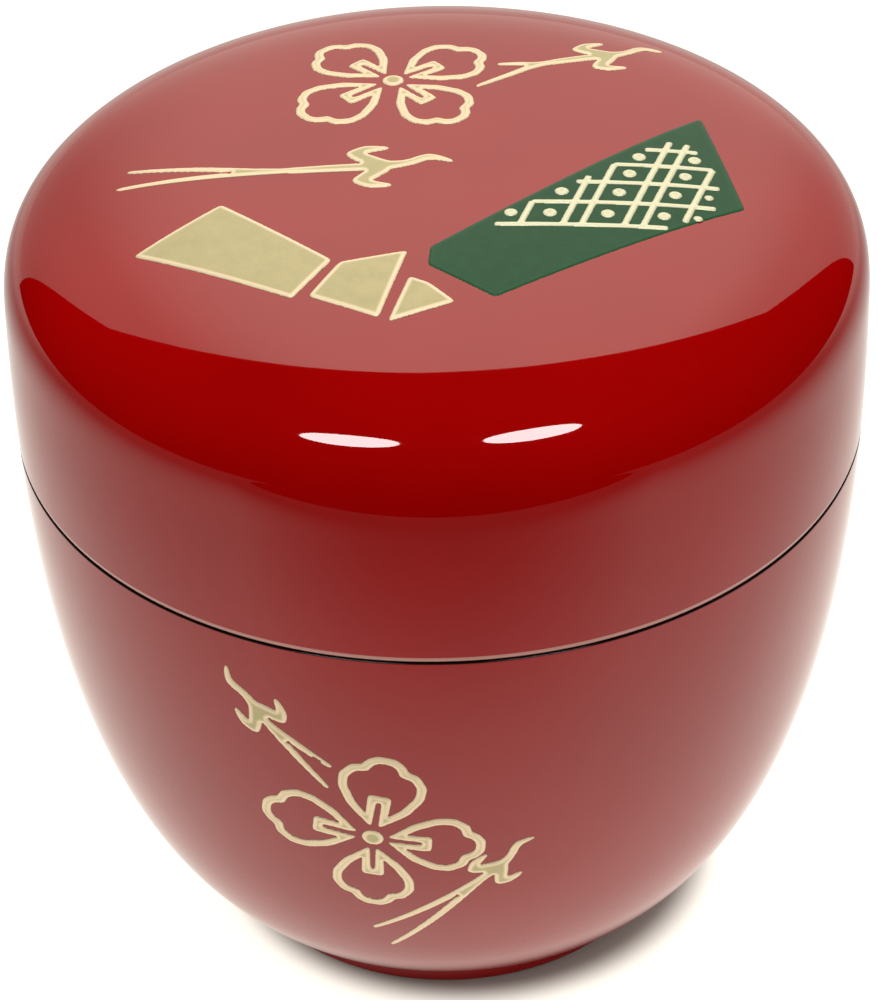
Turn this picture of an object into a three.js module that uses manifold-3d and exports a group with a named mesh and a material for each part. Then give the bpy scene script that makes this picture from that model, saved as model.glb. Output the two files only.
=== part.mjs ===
// A natsume: the jujube-shaped lacquered caddy that holds powdered tea. A turned cup with a
// raised inner lip carries a slip-on lid, and gold and green lacquer ornament lies on both.
// Millimetres, +Z up, origin at the centre of the foot's resting plane, ornament facing -Y.
import * as THREE from "three";
import { mergeVertices } from "three/addons/utils/BufferGeometryUtils.js";
import Module from "manifold-3d";

const wasm = await Module();
wasm.setup();

// Driving dimensions.
const RADIUS = 33; // widest ring, on the lid
const HEIGHT = 66; // resting plane to crown
const WIDEST_Z = 55.5; // height of the widest ring
const SEAM_Z = 44.7; // lower edge of the lid
const SEAM_GAP = 0.15; // shadow line between the lid and the cup's ledge
const SEAM_ROUND = 0.06; // radius on the lid's and the ledge's edges
const TURN_IN_RADIUS = 0.8; // the lid's outside turns in above its lower edge
const TURN_IN_DEGREES = 30;
const LIP_RADIUS = 29.8; // outside of the lip that guides the lid
const LIP_RISE = 8; // lip above the ledge
const LIP_WALL = 1.8;
const LID_CLEARANCE = 0.3; // radial, between the lip and the lid's bore
const CROWN_WALL = 2.8;
const CUP_FLOOR_Z = 4.6;
const FOOT_RADIUS = 17.4;
const FOOT_RING = 2.4; // radial width of the ring that the caddy stands on
const FOOT_HEIGHT = 1.7;
const FOOT_RECESS = 1.1;
const FOOT_ROUND = 0.35;
const AROUND = 56; // facets round the axis

// Ornament layers, measured outward from the lacquer.
const FILM_GAP = 0.05;
const FILM = 0.12;
const GOLD_LINE = 0.65;
const LATTICE_LINE = 0.46;
const BLOSSOM_RADIUS = 8.7; // centre to the tip of a full-size petal's centreline
const CENTRE_DOT = 0.85; // radius of the dot in a blossom's middle
const PRISM = 24; // depth of the prism that cuts a motif out of a film

// Quarter superellipses: angle 0 is the widest ring and 90 degrees the pole. A negative
// rise runs down from the ring.
const crown = {
  radius: RADIUS, ringZ: WIDEST_Z, rise: HEIGHT - WIDEST_Z, radialPower: 2.85, axialPower: 3.5,
};
const belly = {
  radius: RADIUS, ringZ: WIDEST_Z, rise: -57, radialPower: 3.4, axialPower: 2.25,
};
const lidHollow = {
  radius: LIP_RADIUS + LID_CLEARANCE,
  ringZ: WIDEST_Z - 0.5,
  rise: HEIGHT - CROWN_WALL - (WIDEST_Z - 0.5),
  radialPower: 2.85,
  axialPower: 3.2,
};
const cupHollow = {
  radius: LIP_RADIUS - LIP_WALL,
  ringZ: SEAM_Z + 2,
  rise: CUP_FLOOR_Z - (SEAM_Z + 2),
  radialPower: 3.2,
  axialPower: 2.6,
};

const POLE = Math.PI / 2;

function pointAt(curve, angle) {
  const across = angle < POLE ? Math.cos(angle) : 0;
  return new THREE.Vector2(
    curve.radius * across ** (2 / curve.radialPower),
    curve.ringZ + curve.rise * Math.sin(angle) ** (2 / curve.axialPower),
  );
}

function angleAt(curve, z) {
  return Math.asin(((z - curve.ringZ) / curve.rise) ** (curve.axialPower / 2));
}

// Points along a curve between two angles, both ends included.
function stretch(curve, from, to, steps) {
  return Array.from({ length: steps + 1 }, (_, i) =>
    pointAt(curve, from + ((to - from) * i) / steps),
  );
}

// Quarter or half rounds of a profile, from one direction to another in degrees.
function round(centreR, centreZ, radius, fromDegrees, toDegrees, steps) {
  return Array.from({ length: steps + 1 }, (_, i) => {
    const angle = THREE.MathUtils.degToRad(fromDegrees + ((toDegrees - fromDegrees) * i) / steps);
    return new THREE.Vector2(
      centreR + radius * Math.cos(angle),
      centreZ + radius * Math.sin(angle),
    );
  });
}

const ledgeZ = SEAM_Z - SEAM_GAP;

// Where the lid's outside starts to turn in, above the seam.
const turnInAngle = THREE.MathUtils.degToRad(TURN_IN_DEGREES);
const turnInReach = TURN_IN_RADIUS - SEAM_ROUND;
const turnInZ = SEAM_Z + SEAM_ROUND + turnInReach * Math.sin(turnInAngle);

// Outside of the lid, from where it turns in up to the crown.
function lidOutline() {
  const skirt = stretch(belly, angleAt(belly, turnInZ), 0, 4);
  return [...skirt.slice(0, -1), ...stretch(crown, 0, POLE, 12)];
}

// Outside of the cup, from the top of the foot up to just below the ledge.
function cupOutline() {
  return stretch(
    belly, angleAt(belly, FOOT_HEIGHT), angleAt(belly, ledgeZ - SEAM_ROUND), 13,
  );
}

function turned(profile) {
  return new THREE.LatheGeometry(profile, AROUND).rotateX(Math.PI / 2);
}

function lidGeometry() {
  const outline = lidOutline();
  const turnInR = outline[0].x - TURN_IN_RADIUS;
  const edgeR = turnInR + turnInReach * Math.cos(turnInAngle);
  const edgeZ = SEAM_Z + SEAM_ROUND;
  return turned([
    ...stretch(lidHollow, POLE, 0, 7),
    ...round(lidHollow.radius + SEAM_ROUND, edgeZ, SEAM_ROUND, 180, 270, 2),
    ...round(edgeR, edgeZ, SEAM_ROUND, -90, -TURN_IN_DEGREES, 1),
    ...round(turnInR, turnInZ, TURN_IN_RADIUS, -TURN_IN_DEGREES, 0, 2).slice(1, -1),
    ...outline,
  ]);
}

function cupGeometry() {
  const outline = cupOutline();
  const ledgeEdge = outline.pop().x - SEAM_ROUND;
  const footInner = FOOT_RADIUS - FOOT_RING;
  const lipTop = ledgeZ + LIP_RISE - LIP_WALL / 2;
  return turned([
    new THREE.Vector2(0, FOOT_RECESS),
    new THREE.Vector2(footInner, FOOT_RECESS),
    new THREE.Vector2(footInner, 0),
    ...round(FOOT_RADIUS - FOOT_ROUND, FOOT_ROUND, FOOT_ROUND, 270, 360, 2),
    new THREE.Vector2(FOOT_RADIUS, FOOT_HEIGHT),
    ...outline,
    ...round(ledgeEdge, ledgeZ - SEAM_ROUND, SEAM_ROUND, 0, 90, 2),
    new THREE.Vector2(LIP_RADIUS, ledgeZ),
    ...round(LIP_RADIUS - LIP_WALL / 2, lipTop, LIP_WALL / 2, 0, 180, 4),
    ...stretch(cupHollow, 0, POLE, 10),
  ]);
}

// ---- Closed solids for joining and cutting ----

function solidOf(geometry) {
  const bare = geometry.clone();
  bare.deleteAttribute("normal");
  bare.deleteAttribute("uv");
  const merged = mergeVertices(bare, 1e-4);
  return new wasm.Manifold(
    new wasm.Mesh({
      numProp: 3,
      vertProperties: merged.attributes.position.array,
      triVerts: new Uint32Array(merged.index.array),
    }),
  );
}

function geometryOf(solid) {
  const mesh = solid.getMesh();
  const geometry = new THREE.BufferGeometry();
  geometry.setAttribute("position", new THREE.BufferAttribute(mesh.vertProperties, 3));
  geometry.setIndex(new THREE.BufferAttribute(mesh.triVerts, 1));
  geometry.computeVertexNormals();
  return geometry;
}

// A profile moved outward along its own normals.
function movedOut(profile, distance) {
  return profile.map((p, i) => {
    const before = profile[Math.max(i - 1, 0)];
    const after = profile[Math.min(i + 1, profile.length - 1)];
    const along = new THREE.Vector2().subVectors(after, before).normalize();
    const moved = new THREE.Vector2(p.x + along.y * distance, p.y - along.x * distance);
    if (p.x === 0) moved.set(0, p.y + distance);
    return moved;
  });
}

// Skin over a turned outline, between two distances from the lacquer.
function film(outline, inner, outer) {
  const inside = movedOut(outline, inner).reverse();
  const outside = movedOut(outline, outer);
  const ring = [...inside, ...outside];
  if (ring[0].x !== 0) ring.push(ring[0].clone());
  return solidOf(turned(ring));
}

const lidFilm = film(lidOutline(), FILM_GAP, FILM_GAP + FILM);
const latticeFilm = film(lidOutline(), 2 * FILM_GAP + FILM, 2 * (FILM_GAP + FILM));
const cupFilm = film(cupOutline(), FILM_GAP, FILM_GAP + FILM);

// ---- Flat motifs, drawn in millimetres with x to the right and y up ----

function polygon(points) {
  return new THREE.Shape(points.map(([x, y]) => new THREE.Vector2(x, y)));
}

// Band of even width along a closed centreline, with pointed corners.
function band(centreline, width) {
  const count = centreline.length;
  const edge = (side) =>
    centreline.map((p, i) => {
      const before = centreline[(i + count - 1) % count];
      const after = centreline[(i + 1) % count];
      const inward = new THREE.Vector2().subVectors(p, before).normalize();
      const outward = new THREE.Vector2().subVectors(after, p).normalize();
      const normal = new THREE.Vector2(inward.y + outward.y, -inward.x - outward.x).normalize();
      const mitre = Math.max(0.45, normal.x * inward.y - normal.y * inward.x);
      return p.clone().addScaledVector(normal, (side * width) / 2 / mitre);
    });
  const shape = new THREE.Shape(edge(1));
  shape.holes.push(new THREE.Path(edge(-1)));
  return shape;
}

// Brush stroke along a smooth line: a width for each point, thinning to a rounded tip.
function stroke(points, widths) {
  const line = new THREE.SplineCurve(points.map(([x, y]) => new THREE.Vector2(x, y)));
  const steps = 3 * (points.length - 1);
  const left = [];
  const right = [];
  for (let i = 0; i <= steps; i++) {
    const t = i / steps;
    const knot = Math.min(Math.floor(t * (widths.length - 1)), widths.length - 2);
    const share = t * (widths.length - 1) - knot;
    const half = THREE.MathUtils.lerp(widths[knot], widths[knot + 1], share) / 2;
    const tangent = line.getTangent(t);
    const centre = line.getPoint(t);
    left.push(new THREE.Vector2(centre.x - tangent.y * half, centre.y + tangent.x * half));
    right.push(new THREE.Vector2(centre.x + tangent.y * half, centre.y - tangent.x * half));
  }
  return new THREE.Shape([...right, ...left.reverse()]);
}

function disc(x, y, radius, sides) {
  return new THREE.Shape(
    Array.from({ length: sides }, (_, i) => {
      const angle = (2 * Math.PI * i) / sides;
      return new THREE.Vector2(x + radius * Math.cos(angle), y + radius * Math.sin(angle));
    }),
  );
}

// One petal's centreline, pointing up from the flower's centre: a three-lobed rim and a
// narrow slot that rises from the base.
const PETAL = {
  baseY: 1.9, slotHalf: 0.55, slotTopY: 4.4, halfWidth: 2.95, shoulderY: 6.3,
};

function petalLine() {
  const { baseY, slotHalf, slotTopY, halfWidth, shoulderY } = PETAL;
  const side = [
    [slotHalf, baseY],
    [halfWidth * 0.68, baseY + 1.5],
    [halfWidth * 0.98, baseY + 3.2],
    [halfWidth, shoulderY],
    [halfWidth * 0.78, shoulderY + 1],
    [halfWidth * 0.48, shoulderY + 1.2],
  ];
  const lobe = [
    [halfWidth * 0.42, shoulderY + 1.8],
    [halfWidth * 0.2, BLOSSOM_RADIUS - 0.1],
  ];
  const right = [...side, ...lobe];
  const mirrored = right.map(([x, y]) => [-x, y]).reverse();
  const slot = [
    [-slotHalf, slotTopY],
    [slotHalf, slotTopY],
  ];
  return [...right, ...mirrored, ...slot].map(([x, y]) => new THREE.Vector2(x, y));
}

// A flying crane seen from above, heading along +x from its body at the origin: two long
// trailing legs that part where the fork is, two bent wings, and a neck ending in the beak.
function craneStrokes({ size, fork, tips }) {
  const sized = (points, widths) =>
    stroke(points.map(([x, y]) => [x * size, y * size]), widths.map((width) => width * size));
  const leg = ([x, y]) =>
    stroke(
      [[x, y], [(x - fork) / 2, y / 2], [-fork, 0], [0.3, 0]],
      [0.3, 0.55, 0.65, 1.1 * size],
    );
  return [
    ...tips.map(leg),
    sized([[0.4, 0.1], [-1.2, 1.2], [-2.2, 2]], [1.3, 1.3, 0.9]),
    sized([[-2.4, 1.7], [-1, 2.4], [0.8, 2.5]], [0.7, 1, 0.3]),
    sized([[0.4, -0.1], [-0.8, -1.2], [-1.8, -2]], [1.3, 1.3, 0.9]),
    sized([[-2, -1.7], [-0.8, -2.4], [0.9, -2.7]], [0.7, 1, 0.3]),
    sized([[-0.6, 0], [2, 0.3], [3.8, 1.1], [5.6, 0.3]], [1.4, 0.8, 0.8, 0.25]),
  ];
}

// ---- Laying motifs on the caddy ----

// Frame in which a motif's prism is cut out of a film: the lid's from above, or the cup's
// from straight in front of one bearing, in degrees round from -Y towards +X.
function fromAbove() {
  return new THREE.Matrix4().makeTranslation(0, 0, HEIGHT + 1 - PRISM);
}

function fromBearing(degrees) {
  const bearing = THREE.MathUtils.degToRad(degrees);
  const right = new THREE.Vector3(Math.cos(bearing), Math.sin(bearing), 0);
  const out = new THREE.Vector3(Math.sin(bearing), -Math.cos(bearing), 0);
  return new THREE.Matrix4()
    .makeBasis(right, new THREE.Vector3(0, 0, 1), out)
    .setPosition(out.multiplyScalar(RADIUS + 1 - PRISM));
}

// Turns and moves flat shapes: degrees anticlockwise, then to (x, y).
function placed(x, y, degrees) {
  return new THREE.Matrix4()
    .makeTranslation(x, y, 0)
    .multiply(new THREE.Matrix4().makeRotationZ(THREE.MathUtils.degToRad(degrees)));
}

function inlay(shapes, place, view, skin) {
  const prisms = shapes.map((shape) => {
    const geometry = new THREE.ExtrudeGeometry(shape, {
      depth: PRISM, bevelEnabled: false, curveSegments: 4,
    });
    return solidOf(geometry.applyMatrix4(place).applyMatrix4(view));
  });
  const motif = prisms.reduce((joined, prism) => joined.add(prism));
  return geometryOf(motif.intersect(skin));
}

// ---- Materials ----

const redLacquer = () =>
  new THREE.MeshStandardMaterial({ color: 0x9c1408, roughness: 0.08, metalness: 0 });
const gold = () =>
  new THREE.MeshStandardMaterial({ color: 0xcec396, roughness: 0.45, metalness: 0.6 });
const greenLacquer = () =>
  new THREE.MeshStandardMaterial({ color: 0x2f5c43, roughness: 0.15, metalness: 0 });

const caddy = new THREE.Group();
const lidGroup = new THREE.Group();
const cupGroup = new THREE.Group();
caddy.add(cupGroup, lidGroup);

function addTo(group, name, geometry, material) {
  const mesh = new THREE.Mesh(geometry, material);
  mesh.name = name;
  group.add(mesh);
}

addTo(cupGroup, "cup", cupGeometry(), redLacquer());
addTo(lidGroup, "lid", lidGeometry(), redLacquer());

// Four petals and a dot round a centre. Each petal has its own turn from straight up and its
// own size, because the flowers are painted by hand.
function addBlossom(group, name, centre, petals, view, skin) {
  petals.forEach(({ turn, size }, i) => {
    const outline = petalLine().map((p) => p.multiplyScalar(size));
    const place = placed(...centre, turn);
    addTo(
      group, `${name}_petal_${i + 1}`, inlay([band(outline, GOLD_LINE)], place, view, skin), gold(),
    );
  });
  const dot = disc(0, 0, CENTRE_DOT, 12);
  addTo(group, `${name}_centre`, inlay([dot], placed(...centre, 0), view, skin), gold());
}

function addCrane(group, name, body, heading, crane, view, skin) {
  const shapes = craneStrokes(crane);
  addTo(group, name, inlay(shapes, placed(...body, heading), view, skin), gold());
}

const lidPetals = [
  { turn: 42, size: 0.92 },
  { turn: -57, size: 0.93 },
  { turn: 126, size: 0.98 },
  { turn: -141, size: 0.92 },
];
const cupPetals = [
  { turn: -10, size: 1.02 },
  { turn: 81, size: 0.98 },
  { turn: 176, size: 0.96 },
  { turn: -96, size: 0.94 },
];
addBlossom(lidGroup, "lid_blossom", [-3, 13.4], lidPetals, fromAbove(), lidFilm);
addBlossom(cupGroup, "cup_blossom", [0, 26], cupPetals, fromBearing(-11), cupFilm);

// Leg tips are measured from the body along the crane's own heading.
const cranes = {
  lid_crane_long: { size: 1, fork: 7.5, tips: [[-19.2, 2.3], [-20, 0.1]] },
  lid_crane_short: { size: 0.88, fork: 5.3, tips: [[-8.8, 1.1], [-11.6, -1.7]] },
  cup_crane_upper: { size: 0.78, fork: 1.2, tips: [[-6.6, -2.5], [-8.4, -0.9]] },
  cup_crane_lower: { size: 0.74, fork: 1.7, tips: [[-12.6, 0.5], [-13.4, -2.4]] },
};

function addLidCrane(name, body, heading) {
  addCrane(lidGroup, name, body, heading, cranes[name], fromAbove(), lidFilm);
}

function addCupCrane(name, bearing, body, heading) {
  addCrane(cupGroup, name, body, heading, cranes[name], fromBearing(bearing), cupFilm);
}

addLidCrane("lid_crane_long", [-4.1, 0.8], 1);
addLidCrane("lid_crane_short", [13.7, 17.7], 20);
addCupCrane("cup_crane_upper", -25.5, [-0.1, 37.8], 120);
addCupCrane("cup_crane_lower", 7.5, [-0.3, 22.4], 45);

// Gold facets and the green panel: plain outlines seen from above.
function addPatch(name, outline, material) {
  addTo(lidGroup, name, inlay([polygon(outline)], placed(0, 0, 0), fromAbove(), lidFilm), material);
}

const goldFacets = [
  [[-22.4, -8.6], [-10.6, -15.7], [-7.7, -11.4], [-16, -3.4]],
  [[-9.4, -15.6], [-4.3, -18.4], [-2.1, -10.6], [-7.1, -11.7]],
  [[-3.6, -18.9], [1.3, -16.9], [-0.6, -14.6], [-2, -13.8]],
];
goldFacets.forEach((outline, i) => addPatch(`lid_gold_facet_${i + 1}`, outline, gold()));
addPatch(
  "lid_green_panel",
  [[-0.6, -12.4], [4.2, -16.4], [23.1, -4.4], [20.5, 8], [-0.4, -10.2]],
  greenLacquer(),
);

// Leaning lattice on the panel: rows above a baseline, closer towards the top, slanted lines
// in pairs, and a dot in each wide cell. A place on it is a distance along the baseline and
// a height in rows.
const lattice = {
  baseY: -7.4, turn: -1.2, lean: 0.32, pair: 1.4, column: 4.55, pairStart: 9.4,
  firstRow: 3.1, crowding: 0.12,
};

function onLattice(along, rowsUp) {
  const up = rowsUp * (lattice.firstRow - lattice.crowding * rowsUp);
  return [along + lattice.lean * up, up];
}

function latticeLine(from, to) {
  return stroke([onLattice(...from), onLattice(...to)], [LATTICE_LINE, LATTICE_LINE]);
}

function latticeLines() {
  const firstPair = lattice.pairStart;
  const secondPair = firstPair + lattice.column;
  const single = firstPair + lattice.pair - lattice.column;
  const last = secondPair + lattice.column - 0.3;
  const rows = [
    [4.4, 17.2],
    [single, 19.9],
    [firstPair - 0.7, 19.4],
    [firstPair + lattice.pair, last],
    [secondPair - 1.5, 16.4],
  ].map(([start, end], i) => latticeLine([start, i], [end, i]));
  const slants = [
    [single, 0, 1],
    [firstPair, 0, 2.3],
    [firstPair + lattice.pair, 0, 3],
    [secondPair, 0, 4.6],
    [secondPair + lattice.pair, 0, 4.5],
    [last, 0.3, 3],
  ].map(([along, low, high]) => latticeLine([along, low], [along, high]));
  return [...rows, ...slants];
}

function addLatticeGold(name, shapes) {
  const place = placed(0, lattice.baseY, lattice.turn);
  addTo(lidGroup, name, inlay(shapes, place, fromAbove(), latticeFilm), gold());
}

addLatticeGold("lid_lattice", latticeLines());

// Columns of dots along the baseline, with how many rows of each have a dot.
const dotColumns = [
  { along: 5.1, rows: 1, radius: 0.5 },
  { along: 8, rows: 2, radius: 0.52 },
  { along: 12.3, rows: 4, radius: 0.52 },
  { along: 16.5, rows: 4, radius: 0.5 },
  { along: 19, rows: 2, radius: 0.34 },
];
const dots = dotColumns.flatMap(({ along, rows, radius }) =>
  Array.from({ length: rows }, (_, row) => disc(...onLattice(along, row + 0.5), radius, 10)),
);
dots.forEach((dot, i) => addLatticeGold(`lid_lattice_dot_${i + 1}`, [dot]));

export default caddy;
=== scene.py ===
"""Looks for a natsume tea caddy: mirror-gloss lacquer bodies with raised gold and green ornament.

The turned bodies repeat the CAD's profiles at a finer step, and each ornament follows the
outline of its CAD node. The caddy's lengths are millimetres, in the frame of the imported
model, and become metres where a mesh is made.
"""
import math

import bmesh
import bpy
import numpy as np
from mathutils import Matrix, Vector, kdtree
from mathutils.geometry import delaunay_2d_cdt


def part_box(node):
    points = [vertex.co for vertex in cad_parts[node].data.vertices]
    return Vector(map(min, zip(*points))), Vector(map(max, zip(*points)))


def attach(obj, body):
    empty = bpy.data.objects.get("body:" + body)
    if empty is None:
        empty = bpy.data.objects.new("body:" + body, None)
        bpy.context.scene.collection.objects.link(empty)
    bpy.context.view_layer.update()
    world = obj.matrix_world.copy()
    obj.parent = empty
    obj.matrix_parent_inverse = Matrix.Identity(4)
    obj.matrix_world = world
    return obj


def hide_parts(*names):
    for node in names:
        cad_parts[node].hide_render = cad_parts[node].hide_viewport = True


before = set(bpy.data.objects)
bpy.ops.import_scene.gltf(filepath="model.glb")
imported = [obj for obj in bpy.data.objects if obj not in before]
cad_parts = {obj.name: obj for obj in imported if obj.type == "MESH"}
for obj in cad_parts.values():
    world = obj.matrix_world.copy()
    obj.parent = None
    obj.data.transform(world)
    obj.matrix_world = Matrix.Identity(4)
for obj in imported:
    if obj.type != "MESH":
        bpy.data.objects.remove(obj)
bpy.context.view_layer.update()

MM = 0.001

# Sizes that the frame gives.
lid_low, lid_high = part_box("lid")
_, cup_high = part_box("cup")
RADIUS = lid_high[0] / MM
HEIGHT = lid_high[2] / MM
SEAM_Z = lid_low[2] / MM
LIP_TOP = cup_high[2] / MM

# The turning's other sizes, as in the CAD. The belly's curve would reach the axis at its
# full depth below the widest ring.
WIDEST_Z = 55.5
BELLY_DEPTH = 57
SEAM_GAP = 0.15
SEAM_ROUND = 0.06
TURN_IN_RADIUS = 0.8
TURN_IN_DEGREES = 30
LIP_RADIUS = 29.8
LIP_WALL = 1.8
LID_CLEARANCE = 0.3
CROWN_WALL = 2.8
LID_HOLLOW_Z = WIDEST_Z - 0.5
CUP_HOLLOW_Z = SEAM_Z + 2
CUP_FLOOR_Z = 4.6
FOOT_RADIUS = 17.4
FOOT_RING = 2.4
FOOT_HEIGHT = 1.7
FOOT_RECESS = 1.1
FOOT_ROUND = 0.35
CUP_ORNAMENT_Z = 26

# How finely the turned bodies and the ornament are meshed. The close step keeps the smooth
# shading next to a sharp edge from spreading up the wall, and an edge that turns by more
# than the sharp angle is shaded as an edge.
AROUND = 288
PROFILE_STEP = 0.55
ROUND_STEP = 0.06
CLOSE_STEP = 0.08
RELIEF_STEP = 0.12
CURVE_SAMPLES = 4000
SHARP_DEGREES = 35

# Relief of the ornament, outward from the lacquer: a narrow band round each motif, darkened
# with painted shade, then a rounded shoulder up to the raised field.
SUNK = 0.03
EDGE_BAND = 0.1
SHOULDER = 0.24
GOLD_RISE = 0.11
GREEN_RISE = 0.07

# How far a brush rounds the corners of each kind of motif.
GOLD_SOFTNESS = 0.25
PANEL_SOFTNESS = 0.22
LATTICE_SOFTNESS = 0.1


# ---- Turned bodies ----

class Quarter:
    """A quarter superellipse from its widest ring to its pole on the axis."""

    def __init__(self, radius, ring_z, rise, radial_power, axial_power):
        self.radius = radius
        self.ring_z = ring_z
        self.rise = rise
        self.radial_power = radial_power
        self.axial_power = axial_power

    def radius_at(self, z):
        share = ((z - self.ring_z) / self.rise) ** self.axial_power
        return self.radius * (1 - share) ** (1 / self.radial_power)

    def height_at(self, r):
        share = (r / self.radius) ** self.radial_power
        return self.ring_z + self.rise * (1 - share) ** (1 / self.axial_power)

    def normal(self, r, z):
        """The outward direction at a point of the curve, as its parts across and up."""
        across = self.radial_power * (r / self.radius) ** (self.radial_power - 1) / self.radius
        height = (z - self.ring_z) / self.rise
        up = self.axial_power * height ** (self.axial_power - 1) / self.rise
        length = np.hypot(across, up)
        return across / length, up / length

    def line(self, start_z, end_z):
        """Points from one height to another, evenly spaced."""
        ends = [
            math.asin(min(1.0, ((z - self.ring_z) / self.rise) ** (self.axial_power / 2)))
            for z in (start_z, end_z)
        ]
        angle = np.linspace(*ends, CURVE_SAMPLES)
        across = np.clip(np.cos(angle), 0, None) ** (2 / self.radial_power)
        across[angle > math.pi / 2 - 1e-6] = 0
        up = np.sin(angle) ** (2 / self.axial_power)
        points = np.column_stack([self.radius * across, self.ring_z + self.rise * up])
        return evenly(points, PROFILE_STEP)


def evenly(points, spacing):
    """The same line with its points an even spacing apart."""
    steps = np.linalg.norm(np.diff(points, axis=0), axis=1)
    along = np.concatenate([[0], np.cumsum(steps)])
    count = max(2, round(along[-1] / spacing) + 1)
    targets = np.linspace(0, along[-1], count)
    return np.column_stack([np.interp(targets, along, axis) for axis in points.T])


def arc(centre_r, centre_z, radius, start, end):
    """A round of a profile between two directions in degrees."""
    count = max(4, round(abs(math.radians(end - start)) * radius / ROUND_STEP))
    angle = np.radians(np.linspace(start, end, count + 1))
    return np.column_stack([centre_r + radius * np.cos(angle), centre_z + radius * np.sin(angle)])


def straight(start, end):
    return evenly(np.array([start, end], float), PROFILE_STEP)


CROWN = Quarter(RADIUS, WIDEST_Z, HEIGHT - WIDEST_Z, radial_power=2.85, axial_power=3.5)
BELLY = Quarter(RADIUS, WIDEST_Z, -BELLY_DEPTH, radial_power=3.4, axial_power=2.25)
LID_HOLLOW = Quarter(
    LIP_RADIUS + LID_CLEARANCE, LID_HOLLOW_Z, HEIGHT - CROWN_WALL - LID_HOLLOW_Z,
    radial_power=2.85, axial_power=3.2,
)
CUP_HOLLOW = Quarter(
    LIP_RADIUS - LIP_WALL, CUP_HOLLOW_Z, CUP_FLOOR_Z - CUP_HOLLOW_Z,
    radial_power=3.2, axial_power=2.6,
)


def lid_profile():
    """Stretches of the lid's section from the hollow's pole to the crown's, with materials."""
    bore = LID_HOLLOW.radius
    edge_z = SEAM_Z + SEAM_ROUND
    low = math.radians(TURN_IN_DEGREES)
    turn_z = edge_z + (TURN_IN_RADIUS - SEAM_ROUND) * math.sin(low)
    turn_r = BELLY.radius_at(turn_z) - TURN_IN_RADIUS
    edge_r = turn_r + (TURN_IN_RADIUS - SEAM_ROUND) * math.cos(low)
    return [
        (LID_HOLLOW.line(HEIGHT - CROWN_WALL, LID_HOLLOW.ring_z), "inside"),
        (straight((bore, LID_HOLLOW.ring_z), (bore, edge_z)), "inside"),
        (arc(bore + SEAM_ROUND, edge_z, SEAM_ROUND, 180, 270), "inside"),
        (straight((bore + SEAM_ROUND, SEAM_Z), (edge_r, SEAM_Z)), "inside"),
        (arc(edge_r, edge_z, SEAM_ROUND, -90, -TURN_IN_DEGREES), "outside"),
        # The turned-in edge takes a paler lacquer, which draws a light line above the seam.
        (arc(turn_r, turn_z, TURN_IN_RADIUS, -TURN_IN_DEGREES, 0), "pale_edge"),
        (BELLY.line(turn_z, turn_z + CLOSE_STEP), "outside"),
        (BELLY.line(turn_z + CLOSE_STEP, WIDEST_Z), "outside"),
        (CROWN.line(WIDEST_Z, HEIGHT), "outside"),
    ]


def cup_profile():
    """Stretches of the cup's section from under the foot to the floor, with materials."""
    ledge_z = SEAM_Z - SEAM_GAP
    ledge_low = ledge_z - SEAM_ROUND
    ledge_edge = BELLY.radius_at(ledge_low) - SEAM_ROUND
    foot_inner = FOOT_RADIUS - FOOT_RING
    lip_middle = LIP_RADIUS - LIP_WALL / 2
    lip_round_z = LIP_TOP - LIP_WALL / 2
    foot_edge = FOOT_RADIUS - FOOT_ROUND
    bore = CUP_HOLLOW.radius
    return [
        (straight((0, FOOT_RECESS), (foot_inner - FOOT_ROUND, FOOT_RECESS)), "foot"),
        (arc(foot_inner - FOOT_ROUND, FOOT_RECESS - FOOT_ROUND, FOOT_ROUND, 90, 0), "foot"),
        (straight((foot_inner, FOOT_RECESS - FOOT_ROUND), (foot_inner, 0)), "foot"),
        (straight((foot_inner, 0), (foot_edge, 0)), "foot"),
        (arc(foot_edge, FOOT_ROUND, FOOT_ROUND, -90, 0), "outside"),
        (straight((FOOT_RADIUS, FOOT_ROUND), (FOOT_RADIUS, FOOT_HEIGHT)), "outside"),
        (BELLY.line(FOOT_HEIGHT, ledge_low - CLOSE_STEP), "outside"),
        (BELLY.line(ledge_low - CLOSE_STEP, ledge_low), "outside"),
        (arc(ledge_edge, ledge_low, SEAM_ROUND, 0, 90), "inside"),
        (straight((ledge_edge, ledge_z), (LIP_RADIUS, ledge_z)), "inside"),
        (straight((LIP_RADIUS, ledge_z), (LIP_RADIUS, lip_round_z)), "inside"),
        (arc(lip_middle, lip_round_z, LIP_WALL / 2, 0, 180), "inside"),
        (straight((bore, lip_round_z), (bore, CUP_HOLLOW.ring_z)), "inside"),
        (CUP_HOLLOW.line(CUP_HOLLOW.ring_z, CUP_FLOOR_Z), "inside"),
    ]


def new_piece(name, points, faces, materials, body, slot, *nodes):
    """A smooth mesh piece from millimetre points, riding on a body in place of CAD nodes."""
    mesh = bpy.data.meshes.new(name)
    mesh.from_pydata((np.array(points) * MM).tolist(), [], faces)
    for material in materials:
        mesh.materials.append(material)
    mesh.polygons.foreach_set("use_smooth", np.ones(len(mesh.polygons), bool))
    piece = bpy.data.objects.new(name, mesh)
    bpy.context.scene.collection.objects.link(piece)
    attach(piece, body)
    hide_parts(*nodes)
    return piece


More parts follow.
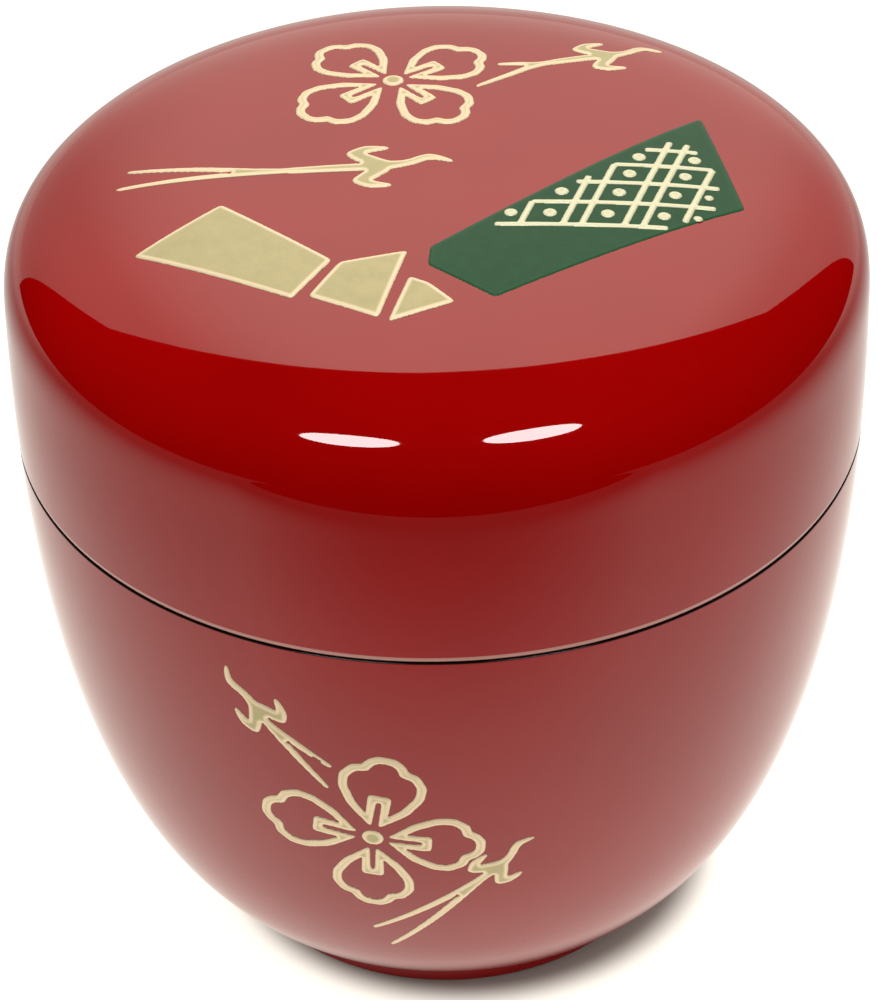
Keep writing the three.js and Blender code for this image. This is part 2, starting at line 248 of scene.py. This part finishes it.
def turned(name, stretches, finishes, body, node):
    """A body turned round the axis from stretches of profile that join end to end."""
    rows = [stretches[0][0][0]]
    row_finish = []
    names = list(finishes)
    for points, finish in stretches:
        for point in points[1:]:
            rows.append(point)
            row_finish.append(names.index(finish))
    angle = np.arange(AROUND) * 2 * math.pi / AROUND
    ring = np.column_stack([np.sin(angle), -np.cos(angle)])
    points = [(0, 0, rows[0][1])]
    for r, z in rows[1:-1]:
        points.extend(np.column_stack([ring * r, np.full(AROUND, z)]))
    points.append((0, 0, rows[-1][1]))
    last = len(points) - 1
    faces = []
    face_finish = []
    for row, finish in enumerate(row_finish):
        low = 1 + (row - 1) * AROUND
        high = low + AROUND
        for i in range(AROUND):
            j = (i + 1) % AROUND
            if row == 0:
                faces.append((0, high + j, high + i))
            elif row == len(row_finish) - 1:
                faces.append((low + i, low + j, last))
            else:
                faces.append((low + i, low + j, high + j, high + i))
            face_finish.append(finish)
    piece = new_piece(name, points, faces, finishes.values(), body, "red_lacquer", node)
    piece.data.polygons.foreach_set("material_index", face_finish)
    piece.data.set_sharp_from_angle(angle=math.radians(SHARP_DEGREES))
    return piece


# ---- Ornament ----

class CrownPlane:
    """The crown laid flat as seen from above."""

    def flat(self, points):
        return points[:, :2]

    def outward(self, point):
        return Vector((0, 0, 1))

    def lifted(self, flat, height):
        r = np.linalg.norm(flat, axis=1)
        z = CROWN.height_at(r)
        across, up = CROWN.normal(r, z)
        moved = flat * (1 + across * height / np.maximum(r, 1e-6))[:, None]
        return np.column_stack([moved, z + up * height])


class BellyPlane:
    """The belly unrolled round the axis, with distances measured at the ornament's own radius."""

    radius = BELLY.radius_at(CUP_ORNAMENT_Z)

    def flat(self, points):
        bearing = np.arctan2(points[:, 0], -points[:, 1])
        return np.column_stack([bearing * self.radius, points[:, 2]])

    def outward(self, point):
        return Vector((point.x, point.y, 0)).normalized()

    def lifted(self, flat, height):
        bearing = flat[:, 0] / self.radius
        r = BELLY.radius_at(flat[:, 1])
        across, up = BELLY.normal(r, flat[:, 1])
        r = r + across * height
        return np.column_stack([r * np.sin(bearing), -r * np.cos(bearing), flat[:, 1] + up * height])


def outlines(node, plane):
    """The closed edges of a CAD node's outer skin, laid flat, with the skin on their left."""
    solid = bmesh.new()
    solid.from_mesh(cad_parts[node].data)
    bmesh.ops.remove_doubles(solid, verts=solid.verts, dist=1e-6)
    skin = [f for f in solid.faces if f.normal.dot(plane.outward(f.calc_center_median())) > 0.5]
    in_skin = set(skin)
    following = {}
    for face in skin:
        for loop in face.loops:
            if sum(f in in_skin for f in loop.edge.link_faces) == 1:
                following.setdefault(loop.vert, []).append(loop.link_loop_next.vert)
    rings = []
    while following:
        start = vert = next(iter(following))
        ring = []
        while not ring or vert is not start:
            ring.append(vert.co / MM)
            onward = following[vert]
            if len(onward) == 1:
                del following[vert]
            vert = onward.pop()
        rings.append(plane.flat(np.array(ring)))
    solid.free()
    return rings


def softened(ring, softness):
    """A closed outline with even spacing, its corners rounded as a brush rounds them."""
    ring = evenly(np.vstack([ring, ring[:1]]), RELIEF_STEP)[:-1]
    side = math.ceil(3 * softness / RELIEF_STEP)
    offsets = np.arange(-side, side + 1)
    weights = np.exp(-0.5 * (offsets * RELIEF_STEP / softness) ** 2)
    weights /= weights.sum()
    return sum(weight * np.roll(ring, k, axis=0) for k, weight in zip(offsets, weights))


def widened(ring, distance):
    """A closed outline moved outward, away from what lies on its left."""
    along = np.roll(ring, -1, axis=0) - np.roll(ring, 1, axis=0)
    along /= np.linalg.norm(along, axis=1)[:, None]
    return ring + distance * np.column_stack([along[:, 1], -along[:, 0]])


def within(points, rings):
    """Which flat points lie inside the rings: an odd number of edges lies to their right."""
    inside = np.zeros(len(points), bool)
    for ring in rings:
        for (x0, y0), (x1, y1) in zip(ring, np.roll(ring, -1, axis=0)):
            beside = np.nonzero((points[:, 1] < y0) != (points[:, 1] < y1))[0]
            crossing = x0 + (points[beside, 1] - y0) * (x1 - x0) / (y1 - y0)
            inside[beside] ^= points[beside, 0] < crossing
    return inside


def filled(rings):
    """Flat points and triangles over the area inside the rings, and each point's inset."""
    edge = np.vstack(rings)
    tree = kdtree.KDTree(len(edge))
    for i, (x, y) in enumerate(edge):
        tree.insert((x, y, 0), i)
    tree.balance()
    low = edge.min(axis=0)
    high = edge.max(axis=0)
    row_step = RELIEF_STEP * math.sqrt(3) / 2
    rows = [
        [(x + (row % 2) * RELIEF_STEP / 2, y) for x in np.arange(low[0], high[0], RELIEF_STEP)]
        for row, y in enumerate(np.arange(low[1], high[1], row_step))
    ]
    grid = np.vstack(rows)
    grid = grid[within(grid, rings)]
    clear = 0.6 * RELIEF_STEP
    inside = [p for p in grid if tree.find((*p, 0))[2] > clear]
    links = []
    first = 0
    for ring in rings:
        count = len(ring)
        links.extend((first + i, first + (i + 1) % count) for i in range(count))
        first += count
    coords = [Vector(p) for p in edge] + [Vector(p) for p in inside]
    inside_links = 1
    verts, _, faces, *_ = delaunay_2d_cdt(coords, links, [], inside_links, 1e-6)
    middles = np.array([sum((verts[i] for i in face), Vector((0, 0))) / 3 for face in faces])
    faces = [face for face, kept in zip(faces, within(middles, rings)) if kept]
    used = sorted({i for face in faces for i in face})
    renumbered = {old: new for new, old in enumerate(used)}
    flat = np.array([verts[i] for i in used])
    faces = [tuple(renumbered[i] for i in face) for face in faces]
    inset = np.array([tree.find((x, y, 0))[2] for x, y in flat])
    return flat, faces, inset


def relief_height(inset, base, rise):
    """Height over the lacquer: out of the edge band, up a round shoulder, to a level top."""
    line = np.clip(inset / EDGE_BAND, 0, 1)
    shoulder = np.clip((inset - EDGE_BAND) / SHOULDER, 0, 1)
    return base - SUNK + line * SUNK + rise * np.sqrt(1 - (1 - shoulder) ** 2)


def relief(node, plane, body, material, slot, softness, base, rise):
    """A closed raised piece in the outline of a CAD node, with its inset as an attribute."""
    rings = [widened(softened(ring, softness), EDGE_BAND) for ring in outlines(node, plane)]
    flat, faces, inset = filled(rings)
    top = plane.lifted(flat, relief_height(inset, base, rise))
    bottom = plane.lifted(flat, np.full(len(flat), base - 2 * SUNK))
    under = np.arange(len(flat))
    inner = inset > 1e-4
    under[inner] = len(flat) + np.arange(inner.sum())
    points = np.vstack([top, bottom[inner]])
    lower = [tuple(int(under[i]) for i in reversed(face)) for face in faces]
    piece = new_piece(f"{node}_relief", points, faces + lower, [material], body, slot, node)
    inset_layer = piece.data.attributes.new("inset", "FLOAT", "POINT")
    inset_layer.data.foreach_set("value", np.concatenate([inset, inset[inner]]) - EDGE_BAND)
    return piece


# ---- Materials ----

# Insets, in millimetres, between which the dark edge line of painted shade gives way to the
# rim and the rim to the field.
SHADE_LINE_END = (-0.06, 0.01)
RIM_END = (0.2, 0.42)

SPECK_COLOUR = (0.4, 0.24, 0.2)


def new_material(name):
    material = bpy.data.materials.new(name)
    material.use_nodes = True
    tree = material.node_tree
    shader = tree.nodes["Principled BSDF"]
    return material, tree, shader


def noise(tree, scale, detail, roughness):
    """Noise over the object's own coordinates, in cycles per metre."""
    place = tree.nodes.new("ShaderNodeTexCoord")
    texture = tree.nodes.new("ShaderNodeTexNoise")
    texture.inputs["Scale"].default_value = scale
    texture.inputs["Detail"].default_value = detail
    texture.inputs["Roughness"].default_value = roughness
    tree.links.new(place.outputs["Object"], texture.inputs["Vector"])
    return texture.outputs["Fac"]


def ramp(tree, value, stops):
    """A colour ramp from (position, colour) stops."""
    node = tree.nodes.new("ShaderNodeValToRGB")
    elements = node.color_ramp.elements
    while len(elements) < len(stops):
        elements.new(0.5)
    for element, (position, colour) in zip(elements, stops):
        element.position = position
        element.color = (*colour, 1)
    tree.links.new(value, node.inputs["Fac"])
    return node.outputs["Color"]


def axes(tree, coordinates):
    """One output for each axis of a kind of texture coordinates."""
    place = tree.nodes.new("ShaderNodeTexCoord")
    split = tree.nodes.new("ShaderNodeSeparateXYZ")
    tree.links.new(place.outputs[coordinates], split.inputs["Vector"])
    return split.outputs


def object_point(tree):
    """Where a point lies on an object."""
    return axes(tree, "Object")


def view_direction(tree):
    """Which way the surroundings are looked at."""
    return axes(tree, "Generated")


def calculated(tree, operation, *values):
    """One step of arithmetic on outputs of other nodes."""
    node = tree.nodes.new("ShaderNodeMath")
    node.operation = operation
    for value, socket in zip(values, node.inputs):
        tree.links.new(value, socket)
    return node.outputs["Value"]


def constant(tree, number):
    node = tree.nodes.new("ShaderNodeValue")
    node.outputs["Value"].default_value = number
    return node.outputs["Value"]


def squared(tree, value):
    return calculated(tree, "MULTIPLY", value, value)


def level_distance(tree, x, y):
    return calculated(tree, "SQRT", calculated(tree, "ADD", squared(tree, x), squared(tree, y)))


def ranged(tree, value, low, high, to_low, to_high, curve="LINEAR"):
    """A value taken from one range to another, and held at the ends."""
    node = tree.nodes.new("ShaderNodeMapRange")
    node.interpolation_type = curve
    limits = {"From Min": low, "From Max": high, "To Min": to_low, "To Max": to_high}
    for socket, limit in limits.items():
        node.inputs[socket].default_value = limit
    tree.links.new(value, node.inputs["Value"])
    return node.outputs["Result"]


def mixed(tree, share, first, second):
    """The first colour where the share is 0 and the second where it is 1."""
    node = tree.nodes.new("ShaderNodeMix")
    node.data_type = "RGBA"
    tree.links.new(share, node.inputs["Factor"])
    for name, colour in (("A", first), ("B", second)):
        target = next(end for end in node.inputs if end.name == name and end.type == "RGBA")
        if isinstance(colour, tuple):
            target.default_value = (*colour, 1)
        else:
            tree.links.new(colour, target)
    return next(end for end in node.outputs if end.type == "RGBA")


def bump(tree, shader, height, distance):
    node = tree.nodes.new("ShaderNodeBump")
    node.inputs["Distance"].default_value = distance
    tree.links.new(height, node.inputs["Height"])
    tree.links.new(node.outputs["Normal"], shader.inputs["Normal"])


def dust_specks(tree):
    """1 on a few specks 0.4 mm across, and 0 elsewhere."""
    place = tree.nodes.new("ShaderNodeTexCoord")
    cells = tree.nodes.new("ShaderNodeTexVoronoi")
    cells.inputs["Scale"].default_value = 170
    tree.links.new(place.outputs["Object"], cells.inputs["Vector"])
    tint = tree.nodes.new("ShaderNodeSeparateColor")
    tree.links.new(cells.outputs["Color"], tint.inputs["Color"])
    near = ranged(tree, cells.outputs["Distance"], 0.028, 0.04, 1, 0)
    rare = ranged(tree, tint.outputs["Red"], 0.88, 0.89, 0, 1)
    return calculated(tree, "MULTIPLY", near, rare)


def lacquer(name, deep, bright, polish):
    """Polished lacquer: clouded colour, faint polishing haze and a few specks of dust."""
    material, tree, shader = new_material(name)
    clouds = noise(tree, 45, 3, 0.55)
    colour = ramp(tree, clouds, [(0.35, deep), (0.65, bright)])
    dusted = mixed(tree, dust_specks(tree), colour, SPECK_COLOUR)
    tree.links.new(dusted, shader.inputs["Base Color"])
    haze = noise(tree, 160, 4, 0.6)
    tree.links.new(ranged(tree, haze, 0.3, 0.8, polish, polish * 2.2), shader.inputs["Roughness"])
    shader.inputs["IOR"].default_value = 1.5
    bump(tree, shader, noise(tree, 70, 1, 0.4), 0.00003)
    return material


def sprinkled(name, line, rim, dust, deep, roughness, metallic, specular=0.5):
    """Sprinkled maki-e: a dark line of painted shade at the edge, a bright rim, then the dusted
    field.
    """
    material, tree, shader = new_material(name)
    attribute = tree.nodes.new("ShaderNodeAttribute")
    attribute.attribute_name = "inset"
    inset = attribute.outputs["Fac"]
    grain = noise(tree, 9000, 3, 0.7)
    drift = noise(tree, 700, 3, 0.6)
    field = mixed(tree, ranged(tree, drift, 0.3, 0.7, 0, 1), dust, deep)
    speckled = mixed(tree, ranged(tree, grain, 0.35, 0.75, 0, 0.2), field, rim)
    rimmed = mixed(tree, ranged(tree, inset, *RIM_END, 0, 1), rim, speckled)
    # The line colour is painted shade along the foot of the relief.
    edged = mixed(tree, ranged(tree, inset, *SHADE_LINE_END, 0, 1), line, rimmed)
    tree.links.new(edged, shader.inputs["Base Color"])
    tree.links.new(ranged(tree, inset, *SHADE_LINE_END, 0, metallic), shader.inputs["Metallic"])
    dulled = ranged(tree, grain, 0.3, 0.7, roughness * 0.85, roughness * 1.2)
    tree.links.new(dulled, shader.inputs["Roughness"])
    shader.inputs["Specular IOR Level"].default_value = specular
    bump(tree, shader, grain, 0.00002)
    return material


def matt_underside(name):
    """The foot's underside: black lacquer dulled where it slides on a shelf."""
    material, tree, shader = new_material(name)
    wear = noise(tree, 300, 4, 0.6)
    colour = ramp(tree, wear, [(0.4, (0.012, 0.008, 0.008)), (0.7, (0.03, 0.02, 0.018))])
    tree.links.new(colour, shader.inputs["Base Color"])
    tree.links.new(ranged(tree, wear, 0.3, 0.7, 0.25, 0.45), shader.inputs["Roughness"])
    return material


red = lacquer(
    "red_lacquer", deep=(0.195, 0.0003, 0.0003), bright=(0.218, 0.0004, 0.0004), polish=0.018,
)
# A paler, pinkish lacquer for the lid's turned-in lower edge: a light line above the seam.
pale_edge = lacquer(
    "pale_edge_lacquer", deep=(0.28, 0.12, 0.105), bright=(0.32, 0.14, 0.12), polish=0.08,
)
black = lacquer(
    "black_lacquer", deep=(0.004, 0.0034, 0.0034), bright=(0.007, 0.006, 0.006), polish=0.05,
)
underside = matt_underside("foot_lacquer")
# Each line colour is painted shade along the foot of the relief.
gold = sprinkled(
    "gold_maki_e", line=(0.06, 0.004, 0.003), rim=(0.7, 0.57, 0.38),
    dust=(0.39, 0.335, 0.17), deep=(0.34, 0.3, 0.145), roughness=0.45, metallic=0.35,
)
pale_gold = sprinkled(
    "pale_gold_maki_e", line=(0.012, 0.05, 0.02), rim=(0.62, 0.6, 0.42),
    dust=(0.55, 0.53, 0.34), deep=(0.45, 0.44, 0.27), roughness=0.45, metallic=0.35,
)
green = sprinkled(
    "green_lacquer", line=(0.02, 0.014, 0.008), rim=(0.006, 0.06, 0.02),
    dust=(0.006, 0.053, 0.017), deep=(0.004, 0.043, 0.013), roughness=0.35, metallic=0,
    specular=0.2,
)


# ---- Building the caddy ----

lid_finishes = {"outside": red, "pale_edge": pale_edge, "inside": black}
cup_finishes = {"outside": red, "inside": black, "foot": underside}
turned("lid_turning", lid_profile(), lid_finishes, "lid", "lid")
turned("cup_turning", cup_profile(), cup_finishes, "cup", "cup")

planes = {"lid": CrownPlane(), "cup": BellyPlane()}
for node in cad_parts:
    body = node.split("_")[0]
    if node == body:
        continue
    plane = planes[body]
    if node == "lid_green_panel":
        relief(node, plane, body, green, "green_lacquer", PANEL_SOFTNESS, 0, GREEN_RISE)
    elif node.startswith("lid_lattice"):
        relief(node, plane, body, pale_gold, "gold_maki_e", LATTICE_SOFTNESS, GREEN_RISE, GOLD_RISE)
    else:
        relief(node, plane, body, gold, "gold_maki_e", GOLD_SOFTNESS, 0, GOLD_RISE)


# ---- Studio ----

# The studio's sizes are in metres.
WARM_WHITE = (1, 0.96, 0.86, 1)
TABLE_HALF = 4
SHADOW_SHIFT = 0.0015
VEIL_Z = 0.001
ROOM_HALF = 0.6
ROOM_FRONT = -0.9
ROOM_TOP = 0.8
LAMP_Z = 0.7


def stage_mesh(name, points, faces, material):
    mesh = bpy.data.meshes.new(name)
    mesh.from_pydata(points, [], faces)
    mesh.materials.append(material)
    sheet = bpy.data.objects.new(name, mesh)
    bpy.context.scene.collection.objects.link(sheet)
    return sheet


def level_sheet(name, z, material):
    """A square sheet as wide as the table."""
    half = TABLE_HALF
    corners = [(-half, -half, z), (half, -half, z), (half, half, z), (-half, half, z)]
    return stage_mesh(name, corners, [(0, 1, 2, 3)], material)


def seen_only_in_mirrors(sheet):
    sheet.visible_camera = False
    sheet.visible_diffuse = False
    sheet.visible_shadow = False
    sheet.visible_transmission = False


def matt_black(name):
    material, tree, shader = new_material(name)
    shader.inputs["Base Color"].default_value = (0, 0, 0, 1)
    shader.inputs["Specular IOR Level"].default_value = 0
    return material, tree, shader


def floor():
    """A white table top that glows a little with painted light, brightest round the caddy, with a
    painted shadow right under the foot and to its right.
    """
    material, tree, shader = new_material("white_table")
    cloudy = noise(tree, 30, 2, 0.5)
    shade = ramp(tree, cloudy, [(0.3, (0.44, 0.44, 0.44)), (0.7, (0.46, 0.46, 0.46))])
    tree.links.new(shade, shader.inputs["Base Color"])
    shader.inputs["Roughness"].default_value = 0.9
    shader.inputs["Specular IOR Level"].default_value = 0.1
    x, y, _ = object_point(tree)
    aside = calculated(tree, "SUBTRACT", x, constant(tree, SHADOW_SHIFT))
    reach = level_distance(tree, aside, y)
    out_of_shadow = ranged(tree, reach, 0.0175, 0.0215, 0, 1, "SMOOTHSTEP")
    fading = ranged(tree, reach, 0.04, 0.11, 1, 0.55, "SMOOTHSTEP")
    painted_glow = calculated(tree, "MULTIPLY", out_of_shadow, fading)
    tree.links.new(painted_glow, shader.inputs["Emission Strength"])
    shader.inputs["Emission Color"].default_value = WARM_WHITE
    level_sheet("floor", 0, material)


def back_edge(x):
    """How far back the dark ceiling reaches, at a distance across the room."""
    return 0.41 + 0.4 * x * x


def dark_room():
    """Black cloth over, beside and in front of the caddy, and open behind it.

    Only mirror reflections see it. It keeps the daylight out of the shoulder's reflection
    and leaves the lighting of everything else alone.
    """
    points = []
    across = np.linspace(-ROOM_HALF, ROOM_HALF, 25)
    for x in across:
        points.append((x, ROOM_FRONT, VEIL_Z))
        points.append((x, ROOM_FRONT, ROOM_TOP))
        points.append((x, back_edge(x), ROOM_TOP))
    faces = []
    for column in range(len(across) - 1):
        here = 3 * column
        after = here + 3
        faces.extend((here + k, here + k + 1, after + k + 1, after + k) for k in range(2))
    for first in (0, len(points) - 3):
        x = points[first][0]
        faces.append((first, first + 1, first + 2, len(points)))
        points.append((x, back_edge(x), VEIL_Z))
    cloth, _, _ = matt_black("black_cloth")
    seen_only_in_mirrors(stage_mesh("black_cloth", points, faces, cloth))


def table_shade_veil():
    """Painted shade: black just over the table that thickens away from the caddy, seen only in
    mirrors.

    It is thinnest behind the caddy and thickens fastest in front, along a line that bends
    away at the sides, where someone stands.
    """
    material, tree, shader = matt_black("table_shade_veil")
    x, y, _ = object_point(tree)
    far = ranged(tree, level_distance(tree, x, y), 0.03, 0.25, 0.15, 0.8, "SMOOTHSTEP")
    behind = ranged(tree, y, 0.05, 0.3, 1, 0.4, "SMOOTHSTEP")
    around = calculated(tree, "MULTIPLY", far, behind)
    bend = calculated(tree, "MULTIPLY", squared(tree, x), constant(tree, -1.6))
    ahead = calculated(tree, "SUBTRACT", bend, y)
    near = ranged(tree, ahead, 0.035, 0.12, 0.15, 0.85, "SMOOTHSTEP")
    beyond = ranged(tree, ahead, 0.15, 0.157, 0, 1)
    front = calculated(tree, "MAXIMUM", near, beyond)
    tree.links.new(calculated(tree, "MAXIMUM", around, front), shader.inputs["Alpha"])
    seen_only_in_mirrors(level_sheet("table_shade_veil", VEIL_Z, material))


def lamp(name, x, y, length, depth, turn, radiance):
    """A small level downlight under the cloth, turned about the vertical by some degrees."""
    light = bpy.data.lights.new(name, "AREA")
    light.shape = "ELLIPSE"
    light.size = length
    light.size_y = depth
    light.energy = radiance * math.pi * length * depth
    lamp_object = bpy.data.objects.new(name, light)
    lamp_object.location = (x, y, LAMP_Z)
    lamp_object.rotation_euler = (0, 0, math.radians(turn))
    lamp_object.visible_camera = False
    bpy.context.scene.collection.objects.link(lamp_object)


def daylight():
    """White surroundings, brightest overhead and behind, dimmer at the sides and in front."""
    world = bpy.data.worlds.new("soft_white_studio")
    world.use_nodes = True
    tree = world.node_tree
    x, y, z = view_direction(tree)
    left = ranged(tree, x, -0.4, -0.1, 0.55, 1, "SMOOTHSTEP")
    right = ranged(tree, x, 0.25, 0.5, 1, 0.7, "SMOOTHSTEP")
    ahead = ranged(tree, y, -0.8, 0, 0.6, 1, "SMOOTHSTEP")
    strength = ranged(tree, z, 0.15, 0.95, 1.1, 2.3, "SMOOTHSTEP")
    for share in (left, right, ahead):
        strength = calculated(tree, "MULTIPLY", strength, share)
    tree.nodes["Background"].inputs["Color"].default_value = WARM_WHITE
    tree.links.new(strength, tree.nodes["Background"].inputs["Strength"])
    bpy.context.scene.world = world


def camera():
    """A long lens from in front and above, rolled a little clockwise."""
    stand_off = 0.4
    elevation = math.radians(36.41)
    roll = math.radians(-1.4)
    aim = Vector((-0.24, 0, HEIGHT / 2 + 2.2)) * MM
    back = Vector((0, -math.cos(elevation), math.sin(elevation)))
    data = bpy.data.cameras.new("camera")
    data.lens = 182.6
    data.clip_start = 0.01
    data.clip_end = 50
    data.dof.use_dof = False
    eye = bpy.data.objects.new("camera", data)
    turn = (-back).to_track_quat("-Z", "Y").to_matrix().to_4x4() @ Matrix.Rotation(roll, 4, "Z")
    eye.matrix_world = Matrix.Translation(aim + back * stand_off) @ turn
    bpy.context.scene.collection.objects.link(eye)
    bpy.context.scene.camera = eye


floor()
dark_room()
table_shade_veil()
daylight()
lamp("left_downlight", x=-0.165, y=-0.135, length=0.19, depth=0.13, turn=-8, radiance=15)
lamp("right_downlight", x=0.16, y=-0.115, length=0.18, depth=0.13, turn=20, radiance=15)
camera()
bpy.context.scene.view_settings.view_transform = "Standard"
